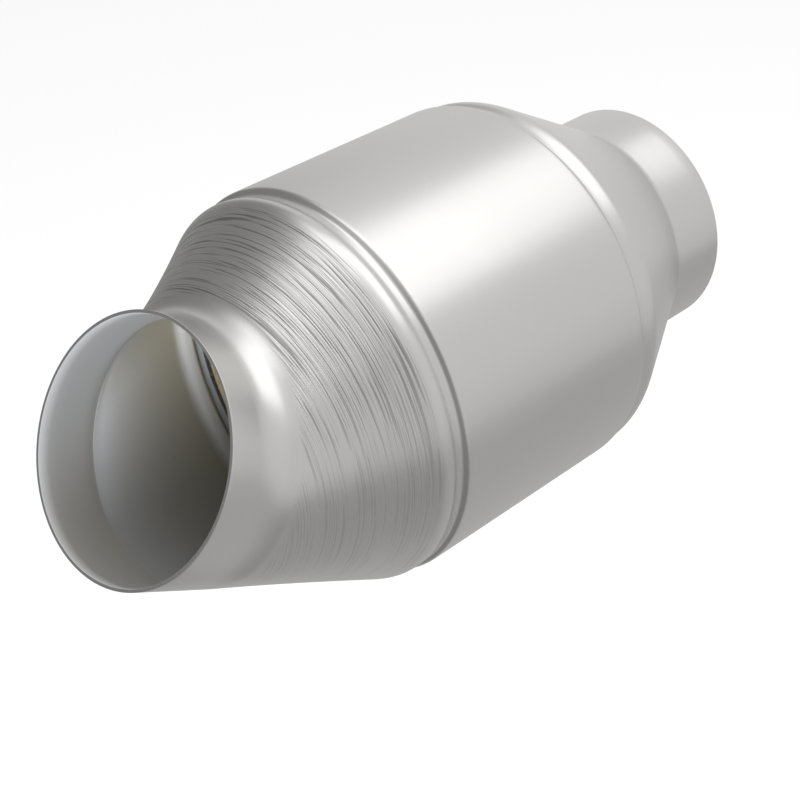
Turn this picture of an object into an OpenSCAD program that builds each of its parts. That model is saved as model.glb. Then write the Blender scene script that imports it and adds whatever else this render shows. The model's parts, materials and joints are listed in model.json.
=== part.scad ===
// Catalytic converter with a round spun shell, a straight outlet neck and an inlet neck that tilts up.
// +X runs with the gas, from the inlet to the outlet, and +Z is up. The origin is the centre of the outlet's mouth.
// The shell is one spun tube. In it a ceramic honeycomb is held by a mat, with a knitted wire ring at each end of it.

/* [Shell] */
// Outside diameter of the level middle of the body
body_d = 127; // [100:1:180]
// Length of the level middle of the body, between its two rolled grooves
body_len = 75.2; // [40:0.1:160]
// Thickness of the steel sheet
wall = 1.2; // [0.8:0.1:2]
// Diameter of the sized bore at each mouth, which takes a 76.2 mm exhaust pipe
neck_id = 76.4; // [50:0.1:80]
// Step from the sized bore to the neck behind it
bore_step = 0.2; // [0.2:0.05:0.5]

/* [Rolled groove] */
// How far the floor of the groove lies below the body
groove_depth = 1.7; // [1:0.1:3]
// How far the crest outside the groove lies below the body
crest_depth = 1.1; // [0.5:0.1:2]
// Run from the end of the level body to the middle of its rounded edge
edge_run = 1.5; // [1.4:0.1:3]
// Run of the wall that drops to the groove's floor
drop_run = 2.2; // [2:0.1:4]
// Run of the groove's floor
floor_run = 1.3; // [1.3:0.1:4]
// Run of the wall that rises to the crest
rise_run = 2; // [2:0.1:4]
// Run from the top of that wall to the shoulder where a cone starts
crest_run = 2.3; // [2.3:0.1:5]

/* [Outlet] */
// Angle between the outlet cone and the body's axis
outlet_slope = 28.8; // [20:0.1:45]
// Length of the straight outlet neck
outlet_neck = 21.6; // [12:0.1:60]
// Depth of the sized bore in the outlet's mouth
outlet_bore_len = 22; // [8:0.5:50]
// Outside radius of the fillet at the foot of the outlet neck
outlet_root_r = 5; // [2:0.5:12]

/* [Inlet] */
// Angle by which the inlet neck tilts up from the body's axis
inlet_tilt = 30; // [0:0.5:35]
// Height of the centre of the inlet's mouth above the body's axis
inlet_rise = 12.7; // [0:0.1:20]
// Distance of the centre of the inlet's mouth from the level body, along the body's axis
inlet_reach = 71.9; // [65:0.1:120]
// Straight length of the inlet neck along its top
inlet_neck_top = 15.6; // [14:0.1:30]
// Straight length of the inlet neck along its bottom
inlet_neck_bottom = 23; // [16:0.1:40]
// Depth of the sized bore in the inlet's mouth
inlet_bore_len = 14; // [8:0.5:25]
// Outside radius of the fillet at the foot of the inlet neck
inlet_root_r = 9; // [3:0.5:10]
// Inside radius of the edge at the foot of either neck
inner_root_r = 3.2; // [2:0.1:6]

/* [Honeycomb, mat and end rings] */
// Distance from each end of the level body to the honeycomb block in it
brick_inset = 0.6; // [0:0.1:20]
// Thickness of the mat, as pressed between the block and the body
mat_t = 3.3; // [2:0.1:6]
// Length of the knitted wire ring at each end of the mat
seal_len = 6; // [3:0.5:12]
// Distance between neighbouring channels
cell_pitch = 4; // [3.5:0.1:8]
// Thickness of the walls between channels
cell_wall = 0.6; // [0.3:0.05:1.5]
// Least thickness of the skin round the channels
skin_t = 1; // [0.5:0.1:3]
// Gap that keeps the block, the mat, the rings and the shell apart
seat_gap = 0.05; // [0.02:0.01:0.2]

/* [Hidden] */

// Fineness of the round solids, of a rounded corner, of the inlet's sections and of the long stretch of its cone
round_fn = 180;
corner_steps = 4;
section_fn = 72;
stretch_steps = 3;
// Curved run into and out of each corner of the groove, and out of a shoulder along its cone
edge_soft = 1.35;
floor_soft = 0.65;
crest_soft = 0.6;
shoulder_soft = 1.65;
cone_soft = 4.5;
// Length of the taper at the inner end of a sized bore
taper_len = 1.2;
// Length that a cutting solid runs past the mouth it opens
overrun = 2;

body_r = body_d / 2;
bore_r = neck_id / 2;
neck_r = bore_r - bore_step + wall;
crest_r = body_r - crest_depth;
floor_r = body_r - groove_depth;
rise_x = edge_run + drop_run + floor_run;
shoulder_x = rise_x + rise_run + crest_run;
outlet_root_x = shoulder_x + (crest_r - neck_r) / tan(outlet_slope);
outlet_reach = outlet_root_x + outlet_neck;
body_out_x = -outlet_reach;
body_in_x = body_out_x - body_len;

brick_r = body_r - wall - mat_t;
brick_len = body_len - 2 * brick_inset;
brick_x = body_in_x + brick_inset;
cell_r = brick_r - seat_gap - skin_t;
cell_reach = ceil(cell_r / cell_pitch);

// Unit vector from one point to another
function way(a, b) = (b - a) / norm(b - a);
// A vector turned a quarter turn to its right
function right_of(v) = [v[1], -v[0]];
// Tangent of half the turn at corner i of a line, positive for a turn to the right
function half_turn(line, i) = let (
    a = way(line[i - 1], line[i]),
    b = way(line[i], line[i + 1])
) (a[1] * b[0] - a[0] * b[1]) / (1 + a * b);
// The two curved runs of a fillet of radius r at corner i of a line
function fillet(line, i, r) = [1, 1] * r * abs(half_turn(line, i));
// The corners of a line after it moves sideways to its right by t, as the inside of sheet steel t thick has them
function moved(line, t) = [
    for (i = [0 : len(line) - 1]) let (
        n = right_of(way(line[max(i - 1, 0)], line[max(i, 1)])),
        m = right_of(way(line[min(i, len(line) - 2)], line[min(i + 1, len(line) - 1)]))
    ) line[i] + t * (n + m) / (1 + n * m)
];
// The points of a corner, rounded from runs[0] before it to runs[1] past it
function rounded(a, corner, b, runs) = let (
    start = corner + runs[0] * way(corner, a),
    end = corner + runs[1] * way(corner, b),
    weight = sqrt((1 + way(a, corner) * way(corner, b)) / 2)
) [
    for (i = [0 : corner_steps]) let (
        u = i / corner_steps,
        near = (1 - u) * (1 - u),
        pull = 2 * u * (1 - u) * weight,
        far = u * u
    ) (near * start + pull * corner + far * end) / (near + pull + far)
];
// A line moved inwards by t, whose corners are rounded. runs holds each corner's two curved runs on the outer line,
// where a radius is smaller by t than on the inside of a hollow corner.
function soft(line, runs, t) = let (inner = moved(line, t)) [
    inner[0],
    for (i = [1 : len(line) - 2])
        each rounded(inner[i - 1], inner[i], inner[i + 1], runs[i - 1] - [1, 1] * t * half_turn(line, i)),
    inner[len(line) - 1]
];

// The outlet's end of the shell seen from the side, as [distance from the level body, radius], from a place on the
// level body to past beyond the mouth. The inlet's end has the same groove.
function outlet_line(past) = [
    [-edge_run, body_r],
    [edge_run, body_r],
    [edge_run + drop_run, floor_r],
    [rise_x, floor_r],
    [shoulder_x - crest_run, crest_r],
    [shoulder_x, crest_r],
    [outlet_root_x, neck_r],
    [outlet_reach + past, neck_r]
];
function outlet_runs(root_r) = [
    [edge_soft, edge_soft],
    [edge_soft, floor_soft],
    [floor_soft, crest_soft],
    [crest_soft, crest_soft],
    [shoulder_soft, cone_soft],
    fillet(outlet_line(0), 6, root_r)
];
// The inlet's end of the shell's round part, whose groove floor runs on under the crest
function groove_line() = [
    [-edge_run, body_r],
    [edge_run, body_r],
    [edge_run + drop_run, floor_r],
    [shoulder_x - shoulder_soft, floor_r]
];
// The whole outline of the round part, as [place along X, radius]
function round_line(t, root_r, past) = let (
    out = soft(outlet_line(past), outlet_runs(root_r), t),
    in = soft(groove_line(), outlet_runs(root_r), t)
) concat(
    [for (i = [len(in) - 1 : -1 : 1]) [body_in_x - in[i][0], in[i][1]]],
    [for (i = [1 : len(out) - 1]) [body_out_x + out[i][0], out[i][1]]]
);

// One side of the inlet seen from the side, as [distance from the level body, distance from the axis]. It starts under
// the groove's floor, comes up through it as the wall of the crest, and ends past beyond the mouth.
// side is 1 for the top, and -1 for the bottom, which is turned over so that both have the axis on their right.
function inlet_line(side, neck_len, past) = let (
    along = [cos(inlet_tilt), side * sin(inlet_tilt)],
    edge = [inlet_reach, side * inlet_rise] + neck_r * [-along[1], along[0]]
) [
    [rise_x - rise_run, 2 * floor_r - crest_r],
    [shoulder_x - crest_run, crest_r],
    [shoulder_x, crest_r],
    edge - neck_len * along,
    edge + past * along
];
// That side rounded and moved inwards by t, with the long straight stretch of the cone cut into steps
function inlet_points(side, neck_len, t, root_r, past) = let (
    line = inlet_line(side, neck_len, past),
    long_stretch = 2 * (corner_steps + 1),
    runs = [[crest_soft, crest_soft], [shoulder_soft, cone_soft], fillet(line, 3, root_r)],
    points = soft(line, runs, t)
) [
    for (i = [0 : len(points) - 1], j = [0 : i == long_stretch ? stretch_steps - 1 : 0])
        let (next = points[min(i + 1, len(points) - 1)])
            points[i] + j / stretch_steps * (next - points[i])
];
// The inlet's sections. Each has its highest point on the top line and its lowest on the bottom line. Its half width
// starts as half its height, and comes down to the neck's radius where the neck is straight on all sides.
function inlet_skin(t, root_r, past) = let (
    top = inlet_points(1, inlet_neck_top, t, root_r, past),
    low = [for (p = inlet_points(-1, inlet_neck_bottom, t, root_r, past)) [p[0], -p[1]]],
    last = len(top) - 2,
    root_half = norm(top[last] - low[last]) / 2
) [
    for (k = [0 : last + 1]) let (
        centre = (top[k] + low[k]) / 2,
        half = norm(top[k] - low[k]) / 2,
        width = k > last ? neck_r - t : half * (1 + k / last * ((neck_r - t) / root_half - 1))
    ) for (j = [0 : section_fn - 1]) let (
        a = 360 * j / section_fn,
        flat = centre + half * cos(a) * way(low[k], top[k])
    ) [body_in_x - flat[0], width * sin(a), flat[1]]
];

// A solid whose skin passes through rings of section_fn points each
module lofted(points) {
    rings = len(points) / section_fn;
    function at(k, j) = k * section_fn + j % section_fn;
    polyhedron(points, concat(
        [[for (j = [0 : section_fn - 1]) at(0, j)]],
        [[for (j = [section_fn - 1 : -1 : 0]) at(rings - 1, j)]],
        [for (k = [0 : rings - 2], j = [0 : section_fn - 1]) [at(k, j), at(k + 1, j), at(k, j + 1)]],
        [for (k = [0 : rings - 2], j = [0 : section_fn - 1]) [at(k, j + 1), at(k + 1, j), at(k + 1, j + 1)]]
    ));
}
// A solid of revolution about the X axis under a line of [place along X, radius]
module spun(line) {
    rotate([0, 90, 0]) rotate_extrude($fn = round_fn) polygon(concat(
        [[0, line[0][0]]],
        [for (p = line) [p[1], p[0]]],
        [[0, line[len(line) - 1][0]]]
    ));
}
// The sized bore in a mouth, where +Z points out of it, with the taper that its plug leaves at the inner end
module bore(len) {
    translate([0, 0, -len]) cylinder(r = bore_r, h = len + overrun, $fn = round_fn);
    translate([0, 0, -len - taper_len]) cylinder(r1 = bore_r - 3 * bore_step, r2 = bore_r, h = taper_len,
        $fn = round_fn);
}
// A ring about the X axis, of the given length, from x on
module ring(x, len, r_in, r_out) {
    translate([x, 0, 0]) rotate([0, 90, 0]) difference() {
        cylinder(r = r_out, h = len, $fn = round_fn);
        translate([0, 0, -overrun]) cylinder(r = r_in, h = len + 2 * overrun, $fn = round_fn);
    }
}

// The one-piece shell, spun down from a tube at both ends
module shell() {
    color("silver") difference() {
        union() {
            spun(round_line(0, outlet_root_r, 0));
            lofted(inlet_skin(0, inlet_root_r, 0));
        }
        spun(round_line(wall, inner_root_r - wall, overrun));
        lofted(inlet_skin(wall, inner_root_r - wall, overrun));
        rotate([0, 90, 0]) bore(outlet_bore_len);
        translate([body_in_x - inlet_reach, 0, inlet_rise]) rotate([0, inlet_tilt - 90, 0]) bore(inlet_bore_len);
    }
}

// The ceramic block, with square channels from end to end
module honeycomb() {
    color("peru") translate([brick_x, 0, 0]) rotate([0, 90, 0]) linear_extrude(brick_len) difference() {
        circle(brick_r - seat_gap, $fn = round_fn);
        for (i = [-cell_reach : cell_reach], j = [-cell_reach : cell_reach])
            if (norm([abs(i) + 0.5, abs(j) + 0.5] * cell_pitch) < cell_r)
                translate([i, j] * cell_pitch) square(cell_pitch - cell_wall, center = true);
    }
}

// The mat between the block and the body
module mat() {
    color("gainsboro") ring(brick_x + seal_len + seat_gap, brick_len - 2 * seal_len - 2 * seat_gap, brick_r,
        body_r - wall - seat_gap);
}

// A knitted wire ring that covers the mat's edge
module inlet_end_ring() {
    color("dimgray") ring(brick_x, seal_len, brick_r, body_r - wall - seat_gap);
}
module outlet_end_ring() {
    color("dimgray") ring(brick_x + brick_len - seal_len, seal_len, brick_r, body_r - wall - seat_gap);
}

shell();
honeycomb();
mat();
inlet_end_ring();
outlet_end_ring();
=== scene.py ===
"""A catalytic converter: spun steel shell, ceramic honeycomb, fibre mat and knitted end rings.

All lengths are metres, and only the camera's lens is in millimetres, as Blender has it. X runs with the gas
to the centre of the outlet's mouth, which is the origin, and Z is up.
"""

import json
import math
import bpy
import numpy as np
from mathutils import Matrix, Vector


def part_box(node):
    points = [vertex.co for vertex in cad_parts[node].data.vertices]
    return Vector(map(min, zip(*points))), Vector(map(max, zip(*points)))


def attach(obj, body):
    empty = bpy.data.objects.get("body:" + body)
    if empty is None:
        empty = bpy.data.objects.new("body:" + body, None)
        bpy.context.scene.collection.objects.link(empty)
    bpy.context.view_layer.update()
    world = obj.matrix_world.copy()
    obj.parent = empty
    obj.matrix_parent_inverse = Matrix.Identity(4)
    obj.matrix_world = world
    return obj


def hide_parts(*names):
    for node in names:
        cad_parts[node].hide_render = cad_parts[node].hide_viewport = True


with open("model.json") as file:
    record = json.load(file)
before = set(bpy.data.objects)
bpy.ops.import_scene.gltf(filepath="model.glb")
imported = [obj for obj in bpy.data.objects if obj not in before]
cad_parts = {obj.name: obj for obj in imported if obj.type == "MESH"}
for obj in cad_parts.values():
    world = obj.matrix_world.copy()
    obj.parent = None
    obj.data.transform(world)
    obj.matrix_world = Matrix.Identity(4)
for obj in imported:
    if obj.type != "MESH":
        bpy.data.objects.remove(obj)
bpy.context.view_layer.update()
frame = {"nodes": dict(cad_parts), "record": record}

bl_info = {
    "name": "Spun Catalytic Converter",
    "version": (1, 0, 0),
    "blender": (4, 5, 0),
    "location": "3D View > Sidebar > Converter",
    "description": "Builds the shell, the honeycomb, the mat and the end rings of a catalytic converter",
    "category": "Add Mesh",
}

MM = 0.001
MOUNTS = {mount["name"]: mount for mount in frame["record"]["mounts"]}
OUTLET_MOUTH = np.array(MOUNTS["outlet_bore"]["pos_m"])[[0, 2]]
OUTLET_WAY = np.array(MOUNTS["outlet_bore"]["axis"])[[0, 2]]
INLET_MOUTH = np.array(MOUNTS["inlet_bore"]["pos_m"])[[0, 2]]
INLET_WAY = np.array(MOUNTS["inlet_bore"]["axis"])[[0, 2]]
BORE_R = MOUNTS["outlet_bore"]["dims"]["r_mm"] * MM
SHELL_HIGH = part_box("shell")[1]
BRICK_LOW, BRICK_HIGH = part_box("honeycomb")

# Columns round the shell, and steps in each of its rounded corners
SHELL_COLUMNS = 240
CORNER_STEPS = 6
# Steps of the straight stretches between those corners, from the level body over the cone to the mouth
INLET_STEPS = (2, 2, 2, 2, 2, 110, 16)
OUTLET_STEPS = (2, 2, 2, 2, 2, 20, 4)
INNER_STEPS = (1, 2, 1, 1, 1, 16, 6)
# Steps of the level body, outside and inside, and of each rounded edge of a mouth
BODY_STEPS = 9
INNER_BODY_STEPS = 5
EDGE_STEPS = 3
# Rows of a mouth's outer edge and flat rim, which lie before its inner edge
HALF_RIM = EDGE_STEPS + 3
# How dull the insides of the necks are, next to the insides of the cones, and their least painted shade
NECK_DULL = 0.6
NECK_PAINTED_SHADE = 0.75

# Spacing along the axis and length round it of the coarse and of the fine spinning marks
COARSE_MARKS = (1.5 * MM, 13 * MM)
FINE_MARKS = (0.9 * MM, 7 * MM)
# How much the fine marks count next to the coarse ones, and the seed of both
FINE_SHARE = 0.5
MARK_SEED = 7
# Shares of the cone's length where the marks have faded in and where they start to fade out
MARKS_IN = 0.03
MARKS_OUT = 0.92
# How much fainter the marks are low down, and the angles from the top between which they become so
LOW_FADE = 0.75
LOW_START = math.radians(35)
LOW_END = math.radians(95)
# Relief of the steel's lathe lines, hairlines and strokes
LATHE_RELIEF = 0.003 * MM
HAIR_RELIEF = 0.05 * MM
STROKE_RELIEF = 0.07 * MM

# A knitted ring: points for each stitch and rows round its section, rows of stitches, and their sway
STITCH_POINTS = 6
RING_ROWS = 28
STITCH_ROWS = 7
STITCH_SWAY = 1.2
# Room between a knitted ring and its neighbours
RING_ROOM = 0.05 * MM
# Lattice corners nearer than this to the block's circle lie on it
CLOSE = 0.001 * MM

# The floor's height and reach, and the middle of the stage
FLOOR_Z = -0.9
FLOOR_REACH = 12.0
STAGE_MIDDLE = (-0.12, 0.0)
# How bright the grey cards are
CARD_LEVEL = 0.32
# Middle, width and length, power in watts, and turn of each lamp
OVERHEAD = ((0.57, -0.36, 1.5), (2.1, 1.6), 13.2, (0, 0, 0))
BACK_LEFT = ((-0.65, 0.30, 1.5), (0.8, 0.9), 3.0, (0, 0, 0))
MOUTH_FILL = ((-0.75, -0.33, 0.0), (0.3, 0.3), 5.0, (math.radians(90), 0, math.radians(-58)))
# The camera looks down a cube's diagonal, from the inlet's side
CAMERA_LENS = 75.9
CAMERA_SENSOR = 36
CAMERA_PLACE = (-0.4309, -0.3165, 0.2934)
CAMERA_TURN = (math.atan(math.sqrt(2)), 0, math.radians(-45))


def length(name, text, default):
    """A length property."""
    return bpy.props.FloatProperty(
        name=name, description=text, default=default, unit="LENGTH", precision=5)


def colour(name, text, default):
    """A colour property."""
    return bpy.props.FloatVectorProperty(
        name=name, description=text, default=default, subtype="COLOR", size=3, min=0, max=1)


def share(name, text, default):
    """A property from nought to one."""
    return bpy.props.FloatProperty(
        name=name, description=text, default=default, subtype="FACTOR", min=0, max=1)


class ShellSizes(bpy.types.PropertyGroup):
    """Sizes of the spun shell."""

    body_r: length("Body radius", "Outside radius of the level body", SHELL_HIGH.z)
    body_len: length("Body length", "Length of the level body between its grooves", 75.2 * MM)
    wall: length("Wall", "Thickness of the steel sheet at a sized bore", 1.0 * MM)
    rim_r: length("Rim rounding", "Rounding of the edges at a mouth", 0.05 * MM)
    groove_depth: length("Groove depth", "How far the groove's floor lies below the body", 1.7 * MM)
    crest_depth: length("Crest depth", "How far the crest lies below the body", 1.1 * MM)
    edge_run: length("Edge run", "Run to the middle of the body's rounded edge", 1.5 * MM)
    drop_run: length("Drop run", "Run of the wall that drops to the groove's floor", 1.4 * MM)
    floor_run: length("Floor run", "Run of the groove's floor", 2.1 * MM)
    rise_run: length("Rise run", "Run of the wall that rises to the crest", 2 * MM)
    crest_run: length("Crest run", "Run of the crest up to the shoulder", 2.3 * MM)
    outlet_slope: bpy.props.FloatProperty(
        name="Outlet slope", description="Angle between the outlet cone and the body's axis",
        default=math.radians(28.8), subtype="ANGLE")
    outlet_root_r: length("Outlet fillet", "Outside radius at the foot of the outlet neck", 5 * MM)
    inlet_reach: length("Inlet reach", "From the level body to the inlet's mouth, along the axis", 71.9 * MM)
    inlet_neck_top: length("Neck top", "Straight length of the inlet neck along its top", 15.6 * MM)
    inlet_neck_bottom: length("Neck bottom", "Straight length of the inlet neck along its bottom", 23 * MM)
    inlet_root_r: length("Inlet fillet", "Outside radius at the foot of the inlet neck", 9 * MM)
    side_soft: length("Side rounding", "Curved run on both sides of the neck's foot, at its sides", 2.2 * MM)
    inner_root_r: length("Inner edge", "Inside radius at the foot of either neck", 3.2 * MM)
    mark_depth: length("Mark depth", "Depth of the spinning marks on the inlet cone", 0.005 * MM)


class CoreSizes(bpy.types.PropertyGroup):
    """Sizes of the honeycomb and of the knitted rings."""

    pitch: length("Channel pitch", "Distance between neighbouring channels", 1.47 * MM)
    web: length("Web", "Thickness of the walls between channels", 0.4 * MM)
    skin: length("Skin", "Least thickness of the skin round the channels", 0.5 * MM)
    stitch: length("Stitch", "Width of one stitch of the knitted rings", 1.6 * MM)
    wire: length("Wire relief", "How far the wires stand out of the knitted rings", 0.35 * MM)


class Finishes(bpy.types.PropertyGroup):
    """Colours and finishes."""

    steel: colour("Steel", "Colour of the spun stainless steel", (0.508, 0.502, 0.492))
    steel_roughness: share("Steel roughness", "Roughness of the spun steel", 0.33)
    scale: colour("Scale", "Colour of the dull scale inside the shell", (0.78, 0.81, 0.855))
    ceramic: colour("Ceramic", "Colour of the coated honeycomb", (0.50, 0.41, 0.20))
    fibre: colour("Fibre", "Colour of the mat's fibres", (0.62, 0.58, 0.50))
    fleck: colour("Fleck", "Colour of the mineral flecks in the mat", (0.45, 0.33, 0.16))
    wire: colour("Wire", "Colour of the knitted wire", (0.42, 0.41, 0.40))
    floor: colour("Floor", "Colour of the floor", (0.90, 0.90, 0.90))


def unit(v):
    """Each row of v divided by its length."""
    return v / np.linalg.norm(v, axis=-1, keepdims=True)


def half_turns(line):
    """Tangent of half the turn at each inner corner of a line, positive where it turns right."""
    way = unit(np.diff(line, axis=0))
    a, b = way[:-1], way[1:]
    return (a[:, 1] * b[:, 0] - a[:, 0] * b[:, 1]) / (1 + (a * b).sum(1))


def moved(line, t):
    """A line's corners, moved to its right by t along the sum of the normals of the stretches beside them."""
    way = unit(np.diff(line, axis=0))
    normal = np.stack([way[:, 1], -way[:, 0]], 1)
    before = np.vstack([normal[:1], normal])
    after = np.vstack([normal, normal[-1:]])
    return line + t * (before + after) / (1 + (before * after).sum(1, keepdims=True))


def traced(corners, runs, t, steps):
    """The points of a line that is moved inwards by t and has its inner corners rounded.

    A corner becomes the weighted quadratic curve from runs[i][0] before it to runs[i][1] past it. The weight
    is the cosine of half the turn, so that equal runs give an arc of a circle. Stretch i has steps[i] steps.
    """
    line = moved(corners, t)
    runs = runs - t * half_turns(corners)[:, None]
    way = unit(np.diff(line, axis=0))
    corner = line[1:-1, None]
    start = corner - runs[:, :1, None] * way[:-1, None]
    end = corner + runs[:, 1:, None] * way[1:, None]
    weight = np.sqrt((1 + (way[:-1] * way[1:]).sum(1)) / 2)[:, None, None]
    u = np.linspace(0, 1, CORNER_STEPS + 1)[None, :, None]
    near, pull, far = (1 - u) ** 2, 2 * u * (1 - u) * weight, u ** 2
    arcs = (near * start + pull * corner + far * end) / (near + pull + far)
    leave = np.vstack([line[:1], arcs[:, -1]])
    reach = np.vstack([arcs[:, 0], line[-1:]])
    stretches = [
        leave[i] + np.arange(count)[:, None] / count * (reach[i] - leave[i]) for i, count in enumerate(steps)
    ]
    parts = [part for pair in zip(stretches, arcs[:, :-1]) for part in pair]
    return np.vstack([*parts, stretches[-1], line[-1:]])


def mesh_object(name, points, quads, smooth):
    """A mesh object of the given points and quads, with its place in its mesh."""
    mesh = bpy.data.meshes.new(name)
    mesh.vertices.add(len(points))
    mesh.vertices.foreach_set("co", np.asarray(points, np.float32).ravel())
    mesh.loops.add(quads.size)
    mesh.loops.foreach_set("vertex_index", quads.ravel().astype(np.int32))
    mesh.polygons.add(len(quads))
    mesh.polygons.foreach_set("loop_start", np.arange(len(quads), dtype=np.int32) * 4)
    mesh.update(calc_edges=True)
    if mesh.validate():
        raise RuntimeError(f"the mesh of {name} is faulty")
    if smooth:
        mesh.shade_smooth()
    else:
        mesh.shade_flat()
    piece = bpy.data.objects.new(name, mesh)
    bpy.context.scene.collection.objects.link(piece)
    return piece


def looped_quads(rows, columns):
    """The quads of a grid whose rows and columns both run round and close."""
    at = np.arange(rows * columns).reshape(rows, columns)
    below, beside = np.roll(at, -1, 0), np.roll(at, -1, 1)
    return np.stack([at, below, np.roll(below, -1, 1), beside], -1).reshape(-1, 4)


def open_quads(rows, columns):
    """The quads of a grid with edges, as an array of (rows - 1) by (columns - 1) quads."""
    at = np.arange(rows * columns).reshape(rows, columns)
    return np.stack([at[:-1, :-1], at[1:, :-1], at[1:, 1:], at[:-1, 1:]], -1)


def grid_normals(points):
    """Unit normals of a closed grid of points, from the differences along its rows and its columns."""
    along = np.roll(points, -1, 0) - np.roll(points, 1, 0)
    across = np.roll(points, -1, 1) - np.roll(points, 1, 1)
    return unit(np.cross(along, across))


def smooth_step(low, high, value):
    """0 below low, 1 above high and the smooth curve 3u^2 - 2u^3 between them."""
    u = np.clip((value - low) / (high - low), 0, 1)
    return u * u * (3 - 2 * u)


def set_attribute(piece, name, values):
    """One number for each vertex, under the name that a material reads."""
    attribute = piece.data.attributes.new(name, "FLOAT", "POINT")
    attribute.data.foreach_set("value", np.asarray(values, np.float32).ravel())


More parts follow.
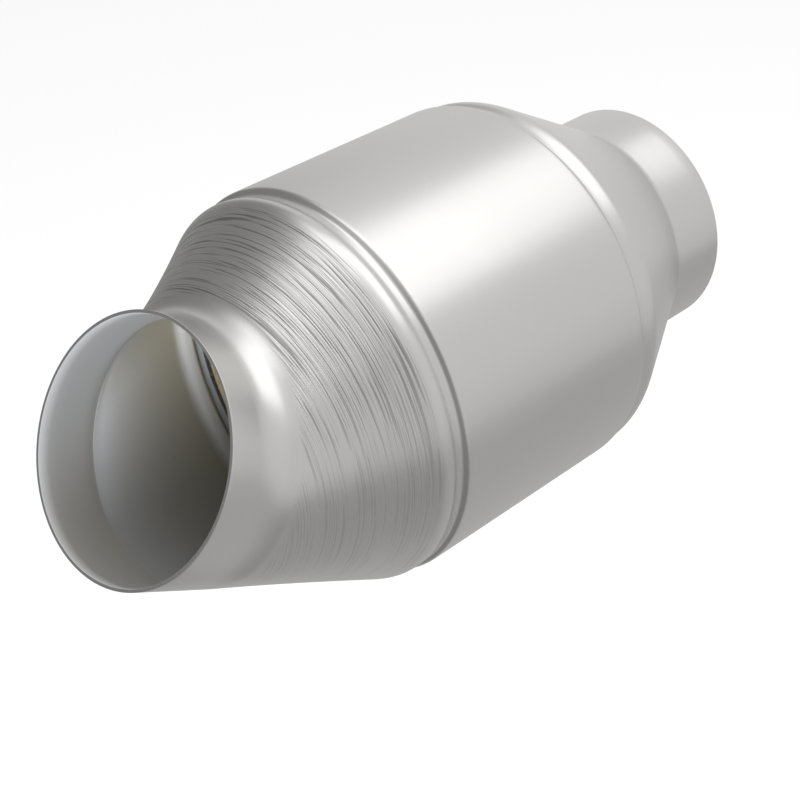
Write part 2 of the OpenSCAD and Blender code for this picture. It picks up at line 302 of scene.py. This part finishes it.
class ShellForm:
    """The shell's rows. Each is an ellipse, held as its top point, its bottom point and its half width."""

    def __init__(self, sizes):
        self.sizes = sizes
        self.body_in_x = INLET_MOUTH[0] + sizes.inlet_reach
        self.body_out_x = self.body_in_x + sizes.body_len
        self.neck_r = BORE_R + sizes.wall
        crest_r = sizes.body_r - sizes.crest_depth
        floor_r = sizes.body_r - sizes.groove_depth
        rise_x = sizes.edge_run + sizes.drop_run + sizes.floor_run
        shoulder_x = rise_x + sizes.rise_run + sizes.crest_run
        self.groove = [
            [-sizes.edge_run, sizes.body_r],
            [sizes.edge_run, sizes.body_r],
            [sizes.edge_run + sizes.drop_run, floor_r],
            [rise_x, floor_r],
            [rise_x + sizes.rise_run, crest_r],
            [shoulder_x, crest_r],
        ]
        # Curved runs into and out of the groove's four corners and of the shoulder
        self.groove_runs = np.array([[0.9, 0.65], [0.7, 0.6], [0.75, 0.6], [0.6, 0.6], [1.3, 2.4]]) * MM
        # An end is the foot of its neck and the neck's way, as [distance from the level body, from the axis],
        # and the neck's length. The outlet is the same on all sides. The inlet has its top and its bottom.
        foot_x = shoulder_x + (crest_r - self.neck_r) / math.tan(sizes.outlet_slope)
        self.outlet_end = np.array([foot_x, self.neck_r]), np.array([1.0, 0.0]), -self.body_out_x - foot_x
        self.inlet_ends = [
            self.inlet_end(1, sizes.inlet_neck_top),
            self.inlet_end(-1, sizes.inlet_neck_bottom),
        ]

    def inlet_end(self, side, neck_len):
        """The inlet's top side for 1, or its bottom side, turned over, for -1."""
        way = np.array([-INLET_WAY[0], side * INLET_WAY[1]])
        mouth = np.array([self.sizes.inlet_reach, side * INLET_MOUTH[1]])
        edge = mouth + self.neck_r * np.array([-way[1], way[0]])
        return edge - neck_len * way, way, neck_len

    def root_turn(self, end):
        """Tangent of half the turn at the foot of an end's neck, positive for a turn to the right."""
        foot, way, _ = end
        return half_turns(np.array([self.groove[-1], foot, foot + way]))[0]

    def root_run(self, end, r):
        """Curved run on both sides of that foot, for a fillet of radius r."""
        return r * abs(self.root_turn(end))

    def bore_depths(self, mount, ends, run):
        """Depth at which a mouth's sized bore stops, for each end, no later than where the inside widens."""
        wanted = MOUNTS[mount]["dims"]["length_mm"] * MM
        depths = []
        for end in ends:
            turn = self.root_turn(end)
            straight = end[2] + self.sizes.wall * (turn - abs(turn)) - run - 2 * self.sizes.rim_r
            depths.append(min(wanted, straight))
        return depths

    def side(self, end, t, run, depth, steps):
        """One side of an end, moved inwards by t, from the level body to depth behind the mouth.

        run is the curved run on both sides of the neck's foot.
        """
        foot, way, neck_len = end
        corners = np.array([*self.groove, foot, foot + (neck_len - depth) * way])
        runs = np.vstack([self.groove_runs, np.full((1, 2), run)])
        return traced(corners, runs, t, steps)

    def inlet_rows(self, t, run, depths, steps):
        """Rows from the level body to the inlet's neck. depths are the last row's, at its top and its bottom.

        The half width of a row is half its height. From the shoulder to the foot of the neck it comes down
        evenly to the neck's radius, which it has from there on. A parabola rounds it where the two meet.
        """
        top, low = [self.side(end, t, run, depth, steps) for end, depth in zip(self.inlet_ends, depths)]
        top = np.stack([self.body_in_x - top[:, 0], top[:, 1]], 1)
        low = np.stack([self.body_in_x - low[:, 0], -low[:, 1]], 1)
        half = np.linalg.norm(top - low, axis=1) / 2
        root = len(top) - 1 - steps[-1]
        shoulder = root - 2 * CORNER_STEPS - steps[-2]
        middle = (top + low) / 2
        travel = np.cumsum(np.linalg.norm(np.diff(middle, axis=0, prepend=middle[:1]), axis=1))
        part = np.clip((travel - travel[shoulder]) / (travel[root] - travel[shoulder]), 0, 1)
        inner_r = self.neck_r - t
        width = half * (1 + part * (inner_r / half[root] - 1))
        width[root:] = inner_r
        soft = self.sizes.side_soft
        ahead = travel[root] - travel
        slope = np.interp(soft, ahead[::-1], width[::-1] - inner_r) / soft
        parabola = inner_r + slope * (ahead + soft) ** 2 / (4 * soft)
        width = np.where(np.abs(ahead) < soft, parabola, width)
        return np.hstack([top, low, width[:, None]])

    def outlet_rows(self, t, run, depth, steps):
        """Rows from the level body to the outlet's neck, all of them circles."""
        line = self.side(self.outlet_end, t, run, depth, steps)
        x, r = self.body_out_x + line[:, 0], line[:, 1]
        return np.stack([x, r, x, -r, r], 1)

    def rim_rows(self, mouth, way, depths):
        """Round rows from the outside of a mouth, over its flat rim, to the depths where its bore stops.

        Both edges of the rim are quarter circles, and a row close to each keeps the shading of the rim flat.
        """
        turn = np.linspace(0, math.pi / 2, EDGE_STEPS + 1)
        r = self.sizes.rim_r
        outer = np.stack([r - r * np.sin(turn), self.neck_r - r + r * np.cos(turn)], 1)
        close = 1.3 * r
        flat = np.array([[0, self.neck_r - close], [0, BORE_R + close]])
        inner = np.stack([r - r * np.cos(turn), BORE_R + r - r * np.sin(turn)], 1)
        edge = np.vstack([outer, flat, inner])
        top_depth, low_depth = [np.append(edge[:, 0], [depth / 2, depth])[:, None] for depth in depths]
        radii = np.append(edge[:, 1], [BORE_R, BORE_R])[:, None]
        across = np.array([-way[1], way[0]]) * math.copysign(1, way[0])
        top = mouth - top_depth * way + radii * across
        low = mouth - low_depth * way - radii * across
        return np.hstack([top, low, radii])


def marked_part(count):
    """How far each of count rows outside the inlet lies from the shoulder, 0, to the foot of the neck, 1."""
    foot = count - 1 - INLET_STEPS[-1] - CORNER_STEPS
    first = foot - CORNER_STEPS - INLET_STEPS[-2] + CORNER_STEPS // 2
    part = np.zeros(count)
    part[first:foot + 1] = np.linspace(0, 1, foot + 1 - first)
    return part


def dullness(count, first, last):
    """How dull each of count rows is: bare outside, dull from first to last inside, less so in the necks."""
    neck = 2 + INNER_STEPS[-1] + CORNER_STEPS
    dull = np.zeros(count)
    dull[first:last] = 1
    dull[first:first + neck] = NECK_DULL
    dull[last - neck:last] = NECK_DULL
    return dull


def shell_rows(sizes):
    """All rows of the shell, outside from the inlet to the outlet and back inside.

    With them come each row's part of the way along the inlet cone's marks, and its dullness.
    """
    form = ShellForm(sizes)
    inlet_top = form.inlet_ends[0]
    edge_r = sizes.inner_root_r - sizes.wall
    inlet_run = form.root_run(inlet_top, edge_r)
    outlet_run = form.root_run(form.outlet_end, edge_r)
    inlet_depths = form.bore_depths("inlet_bore", form.inlet_ends, inlet_run)
    outlet_depths = form.bore_depths("outlet_bore", [form.outlet_end] * 2, outlet_run)
    fillet_in = form.root_run(inlet_top, sizes.inlet_root_r)
    fillet_out = form.root_run(form.outlet_end, sizes.outlet_root_r)
    outer_in = form.inlet_rows(0, fillet_in, [sizes.rim_r] * 2, INLET_STEPS)
    outer_out = form.outlet_rows(0, fillet_out, sizes.rim_r, OUTLET_STEPS)
    inner_in = form.inlet_rows(sizes.wall, inlet_run, inlet_depths, INNER_STEPS)
    inner_out = form.outlet_rows(sizes.wall, outlet_run, outlet_depths[0], INNER_STEPS)
    rim_in = form.rim_rows(INLET_MOUTH, INLET_WAY, inlet_depths)
    rim_out = form.rim_rows(OUTLET_MOUTH, OUTLET_WAY, outlet_depths)
    body = np.linspace(outer_in[0], outer_out[0], BODY_STEPS + 1)[1:-1]
    inner_body = np.linspace(inner_out[0], inner_in[0], INNER_BODY_STEPS + 1)[1:-1]
    outside = np.vstack([outer_in[::-1], body, outer_out[:-1]])
    inside = np.vstack([rim_out[:-1], inner_out[::-1], inner_body, inner_in[:-1], rim_in[:0:-1]])
    rows = np.vstack([outside, inside])
    marked = np.zeros(len(rows))
    marked[:len(outer_in)] = marked_part(len(outer_in))[::-1]
    return rows, marked, dullness(len(rows), len(outside) + HALF_RIM, len(rows) - HALF_RIM)


def shell_points(rows):
    """The grid of points of rows of ellipses, and the angle a of each of its columns, from the top.

    A point is the row's middle, plus half its height times cos a, plus its half width times sin a.
    """
    top, low, width = rows[:, :2], rows[:, 2:4], rows[:, 4]
    middle, half = (top + low) / 2, (top - low) / 2
    a = np.linspace(0, 2 * math.pi, SHELL_COLUMNS, endpoint=False)
    flat = middle[:, None] + half[:, None] * np.cos(a)[None, :, None]
    return np.stack([flat[..., 0], width[:, None] * np.sin(a), flat[..., 1]], -1), a


def dashes(rng, x, around, spacing, dash):
    """Smooth noise between -1 and 1 with cells of spacing along x and of dash round the axis.

    Random values stand on a lattice, each row of it turned by a random amount, and smooth_step blends them.
    """
    u = x / spacing
    lanes = int(np.ceil(u.max())) + 2
    cells = int(np.ceil(around.max() / dash)) + 2
    values = rng.uniform(-1, 1, (lanes, cells))
    offset = rng.uniform(0, 1, lanes)
    lane = np.floor(u).astype(int)
    blend = smooth_step(0, 1, u - lane)

    def along_lane(k):
        v = around / dash + offset[k]
        cell = np.floor(v).astype(int)
        part = smooth_step(0, 1, v - cell)
        return values[k, cell % cells] * (1 - part) + values[k, (cell + 1) % cells] * part

    return along_lane(lane) * (1 - blend) + along_lane(lane + 1) * blend


def mark_strength(marked, a):
    """How strong the marks are, from 0 to 1. They fade at both ends of the cone and down its sides."""
    fade = smooth_step(0, MARKS_IN, marked) * (1 - smooth_step(MARKS_OUT, 1, marked))
    below = smooth_step(LOW_START, LOW_END, np.minimum(a, 2 * math.pi - a))
    return fade[:, None] * (1 - LOW_FADE * below)


def pressed(points, a, marks, depth):
    """The grid of points, moved along its normals by depth times the marks' strength times their noise.

    That noise is the sum of long coarse dashes and of a share of short fine ones.
    """
    around = a * np.hypot(points[..., 1], points[..., 2])
    x = points[..., 0] - points[..., 0].min()
    rng = np.random.default_rng(MARK_SEED)
    noise = dashes(rng, x, around, *COARSE_MARKS) + FINE_SHARE * dashes(rng, x, around, *FINE_MARKS)
    return points + grid_normals(points) * (marks * noise * depth)[..., None]


def painted_shade_strength(points, dull):
    """Painted shade on the inside, from 0 to 1: more towards its bottom, and most in the necks."""
    low = smooth_step(0, 1, -points[..., 2] / np.hypot(points[..., 1], points[..., 2]))
    in_neck = (dull == NECK_DULL)[:, None]
    return np.where(in_neck, NECK_PAINTED_SHADE + (1 - NECK_PAINTED_SHADE) * low, low)


def make_shell(sizes, finishes):
    """The spun shell as one closed skin, with its spinning marks pressed into the inlet cone."""
    rows, marked, dull = shell_rows(sizes)
    smooth_points, a = shell_points(rows)
    marks = mark_strength(marked, a)
    points = pressed(smooth_points, a, marks, sizes.mark_depth)
    quads = looped_quads(len(rows), SHELL_COLUMNS)
    piece = mesh_object("spun_shell", points.reshape(-1, 3), quads, smooth=True)
    set_attribute(piece, "marks", marks)
    set_attribute(piece, "dull", np.repeat(dull, SHELL_COLUMNS))
    # Painted shade inside the shell: darker towards its bottom and in the necks
    set_attribute(piece, "stain", painted_shade_strength(smooth_points, dull))
    piece.data.materials.append(steel_material(finishes))
    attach(piece, "root")
    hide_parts("shell")
    return piece


def lattice(core, block_r):
    """The corners of a flat lattice, and its quads without the channels.

    Its lines are both edges of every channel. Corners outside the block's circle are pulled straight onto it.
    """
    reach = math.ceil(block_r / core.pitch)
    centres = np.arange(-reach, reach + 1) * core.pitch
    half_channel = (core.pitch - core.web) / 2
    lines = np.stack([centres - half_channel, centres + half_channel], 1).ravel()
    n = len(lines)
    y, z = np.meshgrid(lines, lines, indexing="ij")
    radius = np.hypot(y, z)
    pull = np.minimum(1, block_r / radius)
    flat = np.stack([y * pull, z * pull], -1).reshape(-1, 2)
    corners = open_quads(n, n)
    corner_r = radius.ravel()[corners]
    i, j = np.meshgrid(np.arange(n - 1), np.arange(n - 1), indexing="ij")
    channel = (i % 2 == 0) & (j % 2 == 0) & (corner_r.max(-1) < block_r - core.skin)
    return flat, corners[~channel & (corner_r.min(-1) < block_r - CLOSE)]


def drawn_out(flat, quads, low_x, high_x):
    """The points and quads of a flat net drawn out along X.

    An edge that only one quad uses lies on a channel's wall or on the outside, so it carries a side face.
    """
    start, end = quads, np.roll(quads, -1, 1)
    size = len(flat)
    border = ~np.isin(start * size + end, end * size + start)
    start, end = start[border], end[border]
    used, place = np.unique(quads, return_inverse=True)
    quads = place.reshape(quads.shape)
    start, end = np.searchsorted(used, start), np.searchsorted(used, end)
    count = len(used)
    sides = np.stack([start, end, end + count, start + count], 1)
    points = np.vstack([np.insert(flat[used], 0, x, axis=1) for x in (low_x, high_x)])
    return points, np.vstack([quads[:, ::-1], quads + count, sides])


def make_honeycomb(core, finishes):
    """The ceramic block: a flat lattice without the channels, drawn out from end to end."""
    flat, quads = lattice(core, BRICK_HIGH.z)
    points, quads = drawn_out(flat, quads, BRICK_LOW.x, BRICK_HIGH.x)
    piece = mesh_object("ceramic_honeycomb", points, quads, smooth=False)
    piece.data.materials.append(ceramic_material(finishes))
    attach(piece, "root")
    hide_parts("honeycomb")
    return piece


def make_end_ring(node, name, core, finishes):
    """A knitted ring: a tube of rounded square section round the axis, with rows of looped stitches on it.

    At an angle b round the section the skin lies at (cos b, sin b) / (cos^6 b + sin^6 b)^(1/6) times the half
    sizes. These are smaller by the wire's relief times half of one minus the cosine of the wave, whose angle
    is b times the rows of stitches plus a sway that swings once for each stitch round the axis.
    """
    low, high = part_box(node)
    inner_r = BRICK_HIGH.z
    middle_r, half_r = (high.z + inner_r) / 2, (high.z - inner_r) / 2 - RING_ROOM
    middle_x, half_x = (low.x + high.x) / 2, (high.x - low.x) / 2 - RING_ROOM
    stitches = round(2 * math.pi * middle_r / core.stitch)
    columns = stitches * STITCH_POINTS
    a = np.linspace(0, 2 * math.pi, columns, endpoint=False)[None]
    b = np.linspace(0, 2 * math.pi, RING_ROWS, endpoint=False)[:, None]
    wave = np.cos(STITCH_ROWS * b + STITCH_SWAY * np.sin(stitches * a))
    sink = core.wire * (0.5 - 0.5 * wave)
    cos_b, sin_b = np.cos(b), np.sin(b)
    square = (cos_b ** 6 + sin_b ** 6) ** (-1 / 6)
    out_r = middle_r + (half_r - sink) * cos_b * square
    out_x = middle_x + (half_x - sink) * sin_b * square
    points = np.stack([out_x, out_r * np.sin(a), out_r * np.cos(a)], -1)
    piece = mesh_object(name, points.reshape(-1, 3), looped_quads(RING_ROWS, columns), smooth=True)
    piece.data.materials.append(wire_material(finishes))
    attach(piece, "root")
    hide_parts(node)
    return piece


def new_material(name):
    """An empty node material, its tree, its surface shader and its Object coordinates."""
    material = bpy.data.materials.new(name)
    material.use_nodes = True
    tree = material.node_tree
    shader = tree.nodes["Principled BSDF"]
    coordinates = tree.nodes.new("ShaderNodeTexCoord")
    return material, tree, shader, coordinates.outputs["Object"]


def noise_node(tree, vector, scales, detail=3.0, roughness=0.5):
    """Noise with scales grains to the metre along X, Y and Z."""
    mapping = tree.nodes.new("ShaderNodeMapping")
    mapping.inputs["Scale"].default_value = scales
    tree.links.new(vector, mapping.inputs["Vector"])
    noise = tree.nodes.new("ShaderNodeTexNoise")
    noise.inputs["Scale"].default_value = 1
    noise.inputs["Detail"].default_value = detail
    noise.inputs["Roughness"].default_value = roughness
    tree.links.new(mapping.outputs["Vector"], noise.inputs["Vector"])
    return noise.outputs["Fac"]


def ranged(tree, value, low, high, to_low, to_high):
    """A value from low to high, carried over to a range of its own and held within it."""
    node = tree.nodes.new("ShaderNodeMapRange")
    for name, number in zip(("From Min", "From Max", "To Min", "To Max"), (low, high, to_low, to_high)):
        node.inputs[name].default_value = number
    tree.links.new(value, node.inputs["Value"])
    return node.outputs["Result"]


def mixed(tree, factor, first, second):
    """A colour between two others, each of them given as numbers or as the output that has it."""
    node = tree.nodes.new("ShaderNodeMix")
    node.data_type = "RGBA"
    for name, given in (("A", first), ("B", second)):
        if isinstance(given, bpy.types.NodeSocket):
            tree.links.new(given, node.inputs[name])
        else:
            node.inputs[name].default_value = (*given, 1)
    tree.links.new(factor, node.inputs["Factor"])
    return node.outputs["Result"]


def combined(tree, operation, first, second):
    """Two values, added or multiplied."""
    node = tree.nodes.new("ShaderNodeMath")
    node.operation = operation
    tree.links.new(first, node.inputs[0])
    tree.links.new(second, node.inputs[1])
    return node.outputs["Value"]


def bumped(tree, height, distance, below=None):
    """A normal raised by a height, distance metres high, over another bump if one is given."""
    node = tree.nodes.new("ShaderNodeBump")
    node.inputs["Strength"].default_value = 1
    node.inputs["Distance"].default_value = distance
    tree.links.new(height, node.inputs["Height"])
    if below is not None:
        tree.links.new(below, node.inputs["Normal"])
    return node.outputs["Normal"]


def behind_mouth(tree, place, mouth, way):
    """A value that rises from nought to one between 0.5 and 4 mm behind a mouth."""
    node = tree.nodes.new("ShaderNodeVectorMath")
    node.operation = "DOT_PRODUCT"
    tree.links.new(place, node.inputs[0])
    node.inputs[1].default_value = (way[0], 0, way[1])
    level = float(mouth @ way)
    return ranged(tree, node.outputs["Value"], level - 4 * MM, level - 0.5 * MM, 1, 0)


def attribute_node(tree, name):
    """The value that a piece stores for each vertex under a name."""
    node = tree.nodes.new("ShaderNodeAttribute")
    node.attribute_name = name
    return node.outputs["Fac"]


def steel_material(finishes):
    """Bare spun stainless steel with faint lathe lines and clouds, and painted shade on the dull scale
    inside.

    Where the inlet cone was spun, hairlines darken it, and hairlines and broader strokes stand out of it.
    """
    material, tree, shader, place = new_material("spun_steel")
    steel, scale = np.array(finishes.steel), np.array(finishes.scale)
    rough = finishes.steel_roughness
    marks = attribute_node(tree, "marks")
    dull = attribute_node(tree, "dull")
    lathe = noise_node(tree, place, (1400, 25, 25))
    clouds = noise_node(tree, place, (30, 30, 30))
    hair = noise_node(tree, place, (2500, 30, 30), detail=2, roughness=0.6)
    stroke = noise_node(tree, place, (1100, 24, 24), detail=1)
    scratch = combined(tree, "MULTIPLY", ranged(tree, hair, 0.39, 0.46, 1, 0), marks)
    outer = mixed(tree, scratch, steel, steel * 0.5)
    # Painted light: the painted shade fades out between 4 and 0.5 mm behind the inlet's mouth, so the inside
    # is lighter just behind its rim
    inlet = behind_mouth(tree, place, INLET_MOUTH, INLET_WAY)
    stain = combined(tree, "MULTIPLY", attribute_node(tree, "stain"), inlet)
    # Painted shade: the scale darkens to a third of its colour where the painted shade is one
    inner = mixed(tree, stain, scale, scale * 0.32)
    tree.links.new(mixed(tree, dull, outer, inner), shader.inputs["Base Color"])
    tree.links.new(ranged(tree, dull, 0, 1, 1, 0.1), shader.inputs["Metallic"])
    spread = ranged(tree, clouds, 0.3, 0.7, rough - 0.02, rough + 0.02)
    duller = combined(tree, "ADD", spread, ranged(tree, dull, 0, 1, 0, 0.25))
    tree.links.new(duller, shader.inputs["Roughness"])
    fine = bumped(tree, lathe, LATHE_RELIEF)
    hair_height = combined(tree, "MULTIPLY", ranged(tree, hair, 0.38, 0.56, 0, 1), marks)
    hairs = bumped(tree, hair_height, HAIR_RELIEF, below=fine)
    stroke_height = combined(tree, "MULTIPLY", stroke, combined(tree, "MULTIPLY", marks, marks))
    strokes = bumped(tree, stroke_height, STROKE_RELIEF, below=hairs)
    tree.links.new(strokes, shader.inputs["Normal"])
    return material


def ceramic_material(finishes):
    """Porous ceramic under a tan catalyst wash."""
    material, tree, shader, place = new_material("coated_ceramic")
    tan = np.array(finishes.ceramic)
    grains = noise_node(tree, place, (1500, 1500, 1500), detail=4)
    clouds = noise_node(tree, place, (60, 60, 60))
    wash = mixed(tree, ranged(tree, clouds, 0.3, 0.7, 0, 1), tan * 0.85, tan * 1.15)
    tree.links.new(wash, shader.inputs["Base Color"])
    tree.links.new(ranged(tree, grains, 0.3, 0.7, 0.75, 0.95), shader.inputs["Roughness"])
    tree.links.new(bumped(tree, grains, 0.05 * MM), shader.inputs["Normal"])
    return material


def fibre_material(finishes):
    """A felted mat of mineral fibres with golden flecks."""
    material, tree, shader, place = new_material("mat_fibre")
    felt = noise_node(tree, place, (900, 260, 260), detail=5, roughness=0.7)
    flecks = noise_node(tree, place, (420, 420, 420), detail=1)
    fibres = mixed(tree, ranged(tree, flecks, 0.58, 0.64, 0, 1), finishes.fibre, finishes.fleck)
    tree.links.new(fibres, shader.inputs["Base Color"])
    tree.links.new(ranged(tree, felt, 0.3, 0.7, 0.85, 1), shader.inputs["Roughness"])
    tree.links.new(bumped(tree, felt, 0.3 * MM), shader.inputs["Normal"])
    return material


def wire_material(finishes):
    """Drawn steel wire with duller, darker patches."""
    material, tree, shader, place = new_material("knitted_wire")
    wire = np.array(finishes.wire)
    patches = noise_node(tree, place, (700, 700, 700))
    shader.inputs["Metallic"].default_value = 1
    drawn = mixed(tree, ranged(tree, patches, 0.35, 0.65, 0, 1), wire, wire * 0.6)
    tree.links.new(drawn, shader.inputs["Base Color"])
    tree.links.new(ranged(tree, patches, 0.35, 0.65, 0.3, 0.5), shader.inputs["Roughness"])
    return material


def floor_material(finishes):
    """Matt pale paper with a faint grain."""
    material, tree, shader, place = new_material("pale_paper")
    pale = np.array(finishes.floor)
    grain = noise_node(tree, place, (300, 300, 300))
    tree.links.new(mixed(tree, grain, pale * 0.995, pale), shader.inputs["Base Color"])
    shader.inputs["Roughness"].default_value = 1
    shader.inputs["Specular IOR Level"].default_value = 0
    return material


def add_softbox(name, centre, size, power, turn):
    """A rectangular lamp that faces straight down before its turn, with its middle at centre."""
    lamp = bpy.data.lights.new(name, "AREA")
    lamp.shape = "RECTANGLE"
    lamp.size, lamp.size_y = size
    lamp.energy = power
    holder = bpy.data.objects.new(name, lamp)
    holder.location = centre
    holder.rotation_euler = turn
    holder.visible_camera = False
    bpy.context.scene.collection.objects.link(holder)
    return holder


def grey_material():
    """A grey that is clear where the card's cover is nought."""
    material = bpy.data.materials.new("grey_card")
    material.use_nodes = True
    tree = material.node_tree
    tree.nodes.clear()
    clear = tree.nodes.new("ShaderNodeBsdfTransparent")
    grey = tree.nodes.new("ShaderNodeEmission")
    grey.inputs["Color"].default_value = (CARD_LEVEL, CARD_LEVEL, CARD_LEVEL, 1)
    mix = tree.nodes.new("ShaderNodeMixShader")
    output = tree.nodes.new("ShaderNodeOutputMaterial")
    tree.links.new(attribute_node(tree, "cover"), mix.inputs["Fac"])
    tree.links.new(clear.outputs["BSDF"], mix.inputs[1])
    tree.links.new(grey.outputs["Emission"], mix.inputs[2])
    tree.links.new(mix.outputs["Shader"], output.inputs["Surface"])
    return material


def grey_card(name, degrees, radius, height, cover):
    """A card that greys a part of the reflections only.

    Its points stand at degrees round the stage's middle, from +X over +Y, at a radius from it and a height.
    """
    azimuth = np.radians(degrees)
    x = STAGE_MIDDLE[0] + radius * np.cos(azimuth)
    y = STAGE_MIDDLE[1] + radius * np.sin(azimuth)
    points = np.stack(np.broadcast_arrays(x, y, height), -1)
    rows, columns = points.shape[:2]
    quads = open_quads(rows, columns).reshape(-1, 4)
    card = mesh_object(name, points.reshape(-1, 3), quads, smooth=True)
    set_attribute(card, "cover", np.broadcast_to(cover, (rows, columns)))
    card.data.materials.append(grey_material())
    card.visible_camera = False
    card.visible_diffuse = False
    card.visible_shadow = False


def grey_cards():
    """A card that stands round the back and the inlet's side of the stage, and one that lies low round it.

    The first is higher at the back. The second is greyest towards the inlet. Both fade out at their edges.
    """
    degrees = np.linspace(42, 300, 104)[None]
    up = np.linspace(0, 1, 25)[:, None]
    top = 1.0 + 1.0 * (1 - smooth_step(128, 152, degrees))
    height = FLOOR_Z + 0.01 + up * (top - FLOOR_Z)
    ends = smooth_step(42, 86, degrees) * (1 - smooth_step(205, 255, degrees))
    grey_card("standing_card", degrees, 1.3, height, ends * (1 - smooth_step(0.75, 1.0, up)))
    degrees = np.linspace(0, 360, 121)[None]
    out = np.linspace(0.001, 1, 25)[:, None]
    front = 0.6 + 0.4 * smooth_step(60, 150, degrees) * (1 - smooth_step(230, 280, degrees))
    grey_card("lying_card", degrees, 1.8 * out, -0.45, front * (1 - smooth_step(0.7, 1.0, out)))


def make_floor(finishes):
    """The pale floor, one flat quad."""
    edge = np.array([-FLOOR_REACH, FLOOR_REACH])
    x, y = np.meshgrid(edge, edge, indexing="ij")
    points = np.stack([x, y, np.full_like(x, FLOOR_Z)], -1).reshape(-1, 3)
    floor = mesh_object("floor", points, open_quads(2, 2).reshape(-1, 4), smooth=False)
    floor.data.materials.append(floor_material(finishes))


def make_lamps():
    """A large lamp, one that shows only as a reflection, and one with none that lights the inlet."""
    add_softbox("overhead", *OVERHEAD)
    back = add_softbox("back_left", *BACK_LEFT)
    back.visible_diffuse = False
    fill = add_softbox("mouth_fill", *MOUTH_FILL)
    fill.visible_glossy = False


def make_world(scene):
    """An even white light from all sides."""
    world = bpy.data.worlds.new("studio")
    world.use_nodes = True
    world.node_tree.nodes["Background"].inputs["Color"].default_value = (1, 1, 1, 1)
    world.node_tree.nodes["Background"].inputs["Strength"].default_value = 1.0
    scene.world = world


def make_camera(scene):
    """The camera, and Blender's plain view transform."""
    camera = bpy.data.cameras.new("camera")
    camera.lens = CAMERA_LENS
    camera.sensor_width = CAMERA_SENSOR
    holder = bpy.data.objects.new("camera", camera)
    holder.location = CAMERA_PLACE
    holder.rotation_euler = CAMERA_TURN
    scene.collection.objects.link(holder)
    scene.camera = holder
    scene.view_settings.view_transform = "Standard"


def make_stage(scene, finishes):
    """Everything round the object."""
    make_floor(finishes)
    make_lamps()
    grey_cards()
    make_world(scene)
    make_camera(scene)


class CONVERTER_OT_shell(bpy.types.Operator):
    """Make the spun steel shell"""

    bl_idname = "converter.shell"
    bl_label = "Spun Shell"

    def execute(self, context):
        make_shell(context.scene.shell_sizes, context.scene.finishes)
        return {"FINISHED"}


class CONVERTER_OT_honeycomb(bpy.types.Operator):
    """Make the ceramic honeycomb"""

    bl_idname = "converter.honeycomb"
    bl_label = "Honeycomb"

    def execute(self, context):
        make_honeycomb(context.scene.core_sizes, context.scene.finishes)
        return {"FINISHED"}


class CONVERTER_OT_mat(bpy.types.Operator):
    """Give the mat its fibres"""

    bl_idname = "converter.mat"
    bl_label = "Mat"

    def execute(self, context):
        materials = frame["nodes"]["mat"].data.materials
        materials.clear()
        materials.append(fibre_material(context.scene.finishes))
        return {"FINISHED"}


class CONVERTER_OT_end_rings(bpy.types.Operator):
    """Make the knitted rings at both ends of the mat"""

    bl_idname = "converter.end_rings"
    bl_label = "End Rings"

    def execute(self, context):
        core, finishes = context.scene.core_sizes, context.scene.finishes
        for end in ("inlet", "outlet"):
            make_end_ring(f"{end}_end_ring", f"{end}_knitted_ring", core, finishes)
        return {"FINISHED"}


class CONVERTER_OT_stage(bpy.types.Operator):
    """Make the floor, the lamps, the world and the camera"""

    bl_idname = "converter.stage"
    bl_label = "Stage"

    def execute(self, context):
        make_stage(context.scene, context.scene.finishes)
        return {"FINISHED"}


class CONVERTER_PT_panel(bpy.types.Panel):
    """The converter's sizes, finishes and pieces"""

    bl_label = "Converter"
    bl_idname = "CONVERTER_PT_panel"
    bl_space_type = "VIEW_3D"
    bl_region_type = "UI"
    bl_category = "Converter"

    def draw(self, context):
        for group in (context.scene.shell_sizes, context.scene.core_sizes, context.scene.finishes):
            box = self.layout.box()
            for name in group.bl_rna.properties.keys():
                if name not in ("rna_type", "name"):
                    box.prop(group, name)
        for piece in PIECES:
            self.layout.operator(piece.bl_idname)


GROUPS = {"shell_sizes": ShellSizes, "core_sizes": CoreSizes, "finishes": Finishes}
PIECES = (
    CONVERTER_OT_shell,
    CONVERTER_OT_honeycomb,
    CONVERTER_OT_mat,
    CONVERTER_OT_end_rings,
    CONVERTER_OT_stage,
)


def register():
    """Registers the classes and gives the scene its groups of sizes and finishes."""
    for group in GROUPS.values():
        bpy.utils.register_class(group)
    for piece in PIECES:
        bpy.utils.register_class(piece)
    bpy.utils.register_class(CONVERTER_PT_panel)
    for name, group in GROUPS.items():
        setattr(bpy.types.Scene, name, bpy.props.PointerProperty(type=group))


def unregister():
    """Takes those groups and classes away again."""
    for name in GROUPS:
        delattr(bpy.types.Scene, name)
    bpy.utils.unregister_class(CONVERTER_PT_panel)
    for piece in reversed(PIECES):
        bpy.utils.unregister_class(piece)
    for group in GROUPS.values():
        bpy.utils.unregister_class(group)


def main():
    register()
    bpy.ops.converter.shell()
    bpy.ops.converter.honeycomb()
    bpy.ops.converter.mat()
    bpy.ops.converter.end_rings()
    bpy.ops.converter.stage()


if __name__ == "__main__":
    main()
